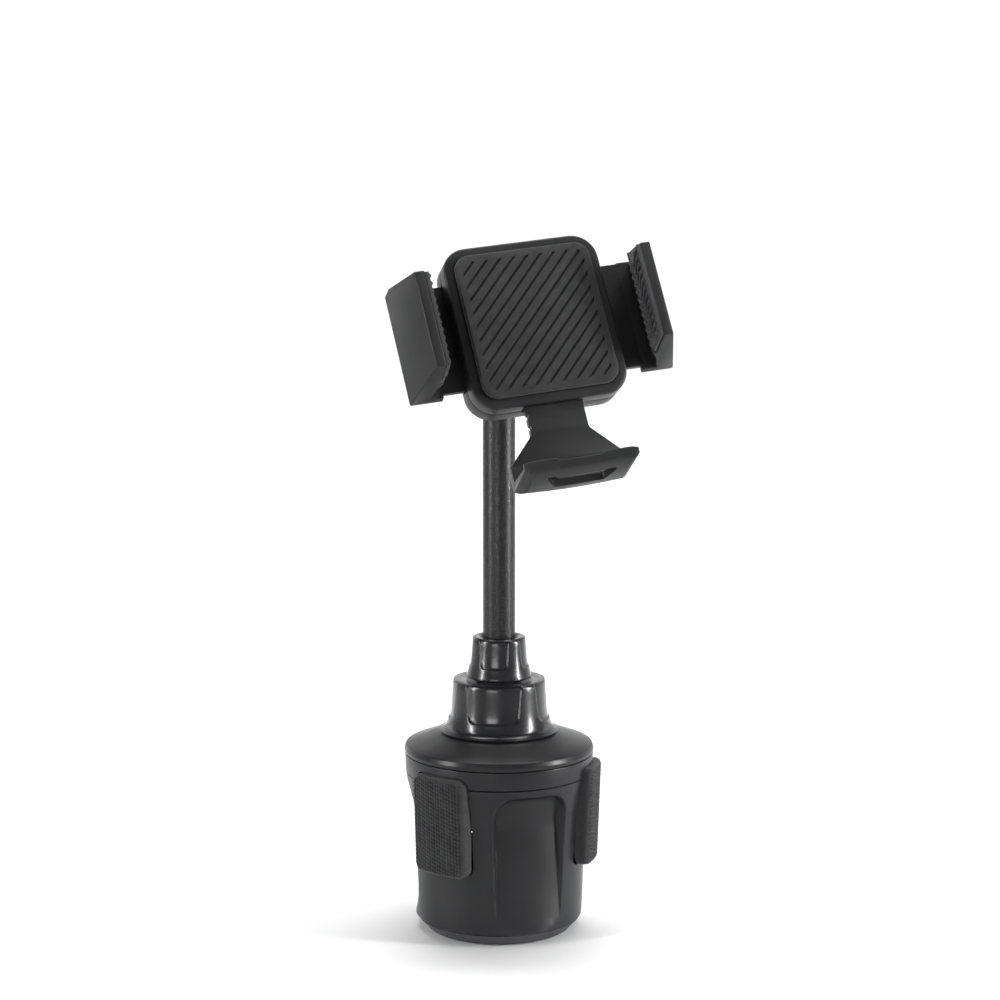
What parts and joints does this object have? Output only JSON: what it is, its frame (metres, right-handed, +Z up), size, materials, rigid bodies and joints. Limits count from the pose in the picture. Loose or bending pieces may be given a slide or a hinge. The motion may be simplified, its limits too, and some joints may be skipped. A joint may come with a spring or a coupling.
{
  "type": "cup holder phone mount",
  "caption": "Cup-holder phone mount: expanding base, lockable pole, ball joint and a spring-arm cradle with a foot.",
  "frame": {"origin": "centre of the base's flat underside, which rests on the bottom of the cup holder", "axes": "+Z up along the pole, -Y towards the user, +X to the user's right when facing the phone"},
  "size_m": [0.1013, 0.119, 0.2589],
  "materials": {
    "gloss_black": "smooth",
    "satin_black": "satin",
    "underside_grey": "satin",
    "inner_plastic": "satin",
    "natural_plastic": "satin",
    "pad_rubber": "matte",
    "powder_coat": "satin",
    "steel": "satin"
  },
  "bodies": {
    "base": {"cup_shell": "gloss_black", "collar_ring": "gloss_black", "top_cover": "gloss_black", "bottom_cover": "underside_grey", "bottom_screw_1": "steel", "bottom_screw_2": "steel", "bottom_screw_3": "steel", "guide_frame": "inner_plastic", "centre_tube": "inner_plastic", "frame_screw_1": "steel", "frame_screw_2": "steel", "frame_screw_3": "steel", "thrust_washer": "natural_plastic"},
    "expansion_knob": {"expansion_knob": "gloss_black", "cam_disc": "natural_plastic"},
    "lock_knob": {"lock_knob": "gloss_black"},
    "pole_collet": {"clamp_collet": "natural_plastic"},
    "pole": {"pole": "powder_coat", "pole_plug": "underside_grey", "pole_head": "satin_black", "ball_stud": "steel"},
    "ball_swivel": {"friction_cup": "natural_plastic"},
    "ball_tilt": {"friction_ring": "natural_plastic"},
    "cradle": {"rear_housing": "satin_black", "front_housing": "satin_black", "front_pad": "pad_rubber", "housing_screw_1": "steel", "housing_screw_2": "steel", "housing_screw_3": "steel", "housing_screw_4": "steel", "pawl_pin": "steel"},
    "ball_nut": {"ball_nut": "satin_black"},
    "arm_left": {"arm_left": "satin_black", "arm_pad_left": "pad_rubber"},
    "arm_right": {"arm_right": "satin_black", "arm_pad_right": "pad_rubber"},
    "pinion": {"pinion": "natural_plastic", "pinion_spring": "steel"},
    "foot": {"foot": "satin_black", "foot_pad": "pad_rubber"},
    "release_button": {"release_button": "satin_black", "button_spring": "steel"},
    "ratchet_pawl": {"ratchet_pawl": "natural_plastic"},
    "pad_1": {"pad_carrier_1": "inner_plastic", "grip_pad_1": "pad_rubber", "cam_pin_1": "steel"},
    "pad_2": {"pad_carrier_2": "inner_plastic", "grip_pad_2": "pad_rubber", "cam_pin_2": "steel"},
    "pad_3": {"pad_carrier_3": "inner_plastic", "grip_pad_3": "pad_rubber", "cam_pin_3": "steel"}
  },
  "joints": [
    {"name": "pad_1_slide", "type": "slide", "parent": "base", "child": "pad_1", "axis": [-0.6293, -0.7771, 0], "range_m": [-0.0045, 0.0055]},
    {"name": "pad_2_slide", "type": "slide", "parent": "base", "child": "pad_2", "axis": [0.9877, -0.1564, 0], "range_m": [-0.00452, 0.00552]},
    {"name": "pad_3_slide", "type": "slide", "parent": "base", "child": "pad_3", "axis": [-0.3584, 0.9336, 0], "range_m": [-0.00452, 0.00552]},
    {"name": "expansion_knob_turn", "type": "hinge", "parent": "base", "child": "expansion_knob", "pos_m": [0, 0, 0.085], "axis": [0, 0, 1], "range_deg": [-45.3, 55.3]},
    {"name": "lock_knob_turn", "type": "hinge", "parent": "base", "child": "lock_knob", "pos_m": [0, 0, 0.1], "axis": [0, 0, 1], "range_deg": [0, 270]},
    {"name": "pole_swivel", "type": "hinge", "parent": "base", "child": "pole_collet", "pos_m": [0, 0, 0.1], "axis": [0, 0, 1], "continuous": true},
    {"name": "pole_height", "type": "slide", "parent": "pole_collet", "child": "pole", "axis": [0, 0, 1], "range_m": [0, 0.07]},
    {"name": "ball_swivel", "type": "hinge", "parent": "pole", "child": "ball_swivel", "pos_m": [0.00665, -0.01985, 0.221], "axis": [0, 0, 1], "range_deg": [-20, 20]},
    {"name": "ball_tilt", "type": "hinge", "parent": "ball_swivel", "child": "ball_tilt", "pos_m": [0.00665, -0.01985, 0.221], "axis": [0.9677, 0.2521, 0], "range_deg": [-25, 20]},
    {"name": "cradle_spin", "type": "hinge", "parent": "ball_tilt", "child": "cradle", "pos_m": [0.00665, -0.01985, 0.221], "axis": [0.2275, -0.8734, 0.4305], "continuous": true},
    {"name": "ball_nut_turn", "type": "hinge", "parent": "cradle", "child": "ball_nut", "pos_m": [0.00665, -0.01985, 0.221], "axis": [-0.2275, 0.8734, -0.4305], "range_deg": [0, 180]},
    {"name": "arm_left_slide", "type": "slide", "parent": "cradle", "child": "arm_left", "axis": [-0.9473, -0.301, -0.11], "range_m": [-0.0076, 0.009]},
    {"name": "arm_right_slide", "type": "slide", "parent": "cradle", "child": "arm_right", "axis": [0.9473, 0.301, 0.11], "range_m": [-0.00762, 0.00902]},
    {"name": "pinion_turn", "type": "hinge", "parent": "cradle", "child": "pinion", "pos_m": [0.01065, -0.03473, 0.22725], "axis": [0.2275, -0.8734, 0.4305], "range_deg": [-76.6, 86.1]},
    {"name": "foot_slide", "type": "slide", "parent": "cradle", "child": "foot", "axis": [0.2256, -0.3828, -0.8959], "range_m": [-0.01, 0.008]},
    {"name": "release_button_press", "type": "slide", "parent": "cradle", "child": "release_button", "axis": [0.2275, -0.8734, 0.4305], "range_m": [0, 0.0018], "stiffness_N_per_m": 600, "springref_m": -0.001},
    {"name": "ratchet_pawl_turn", "type": "hinge", "parent": "cradle", "child": "ratchet_pawl", "pos_m": [-0.00746, -0.0334, 0.23953], "axis": [0.2275, -0.8734, 0.4305], "range_deg": [0, 10.5]}
  ],
  "couplings": [
    {"joint": "pad_2_slide", "follows": "pad_1_slide", "ratio": 1},
    {"joint": "pad_3_slide", "follows": "pad_1_slide", "ratio": 1},
    {"joint": "expansion_knob_turn", "follows": "pad_1_slide", "rad_per_m": 174.52},
    {"joint": "arm_right_slide", "follows": "arm_left_slide", "ratio": 1},
    {"joint": "pinion_turn", "follows": "arm_left_slide", "rad_per_m": 166.67},
    {"joint": "ratchet_pawl_turn", "follows": "release_button_press", "rad_per_m": 96.963}
  ]
}
